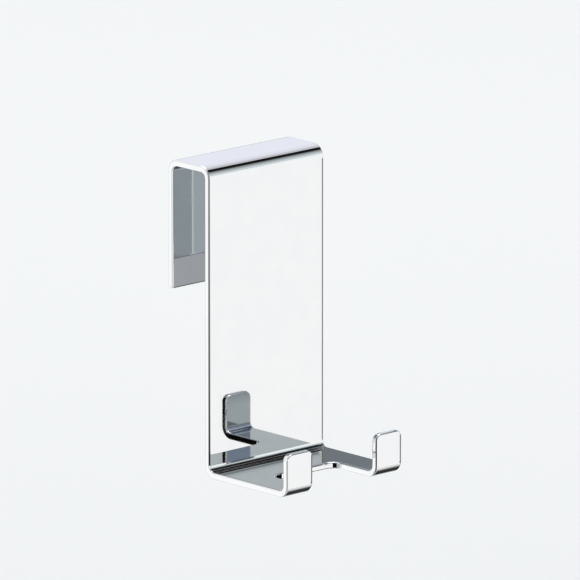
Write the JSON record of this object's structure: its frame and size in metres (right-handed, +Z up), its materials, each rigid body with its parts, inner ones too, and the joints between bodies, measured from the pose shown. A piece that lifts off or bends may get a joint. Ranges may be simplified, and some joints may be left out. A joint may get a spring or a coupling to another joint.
{
  "type": "shower screen hook",
  "caption": "Folded flat-strip hook that hangs over the top edge of a shower screen, with a long front plate and a notched shelf whose prongs turn up to hold towels.",
  "frame": {"origin": "middle of the seat, the underside of the bridge that rests on the screen's top edge", "axes": "+X across the strip to the right as seen from the front, -Y towards the front where the shelf reaches, +Z up"},
  "size_m": [0.04, 0.0447, 0.0816],
  "materials": {
    "chrome": "mirror-polished chrome plate"
  },
  "bodies": {
    "root": {"hook": "chrome"}
  },
  "joints": []
}
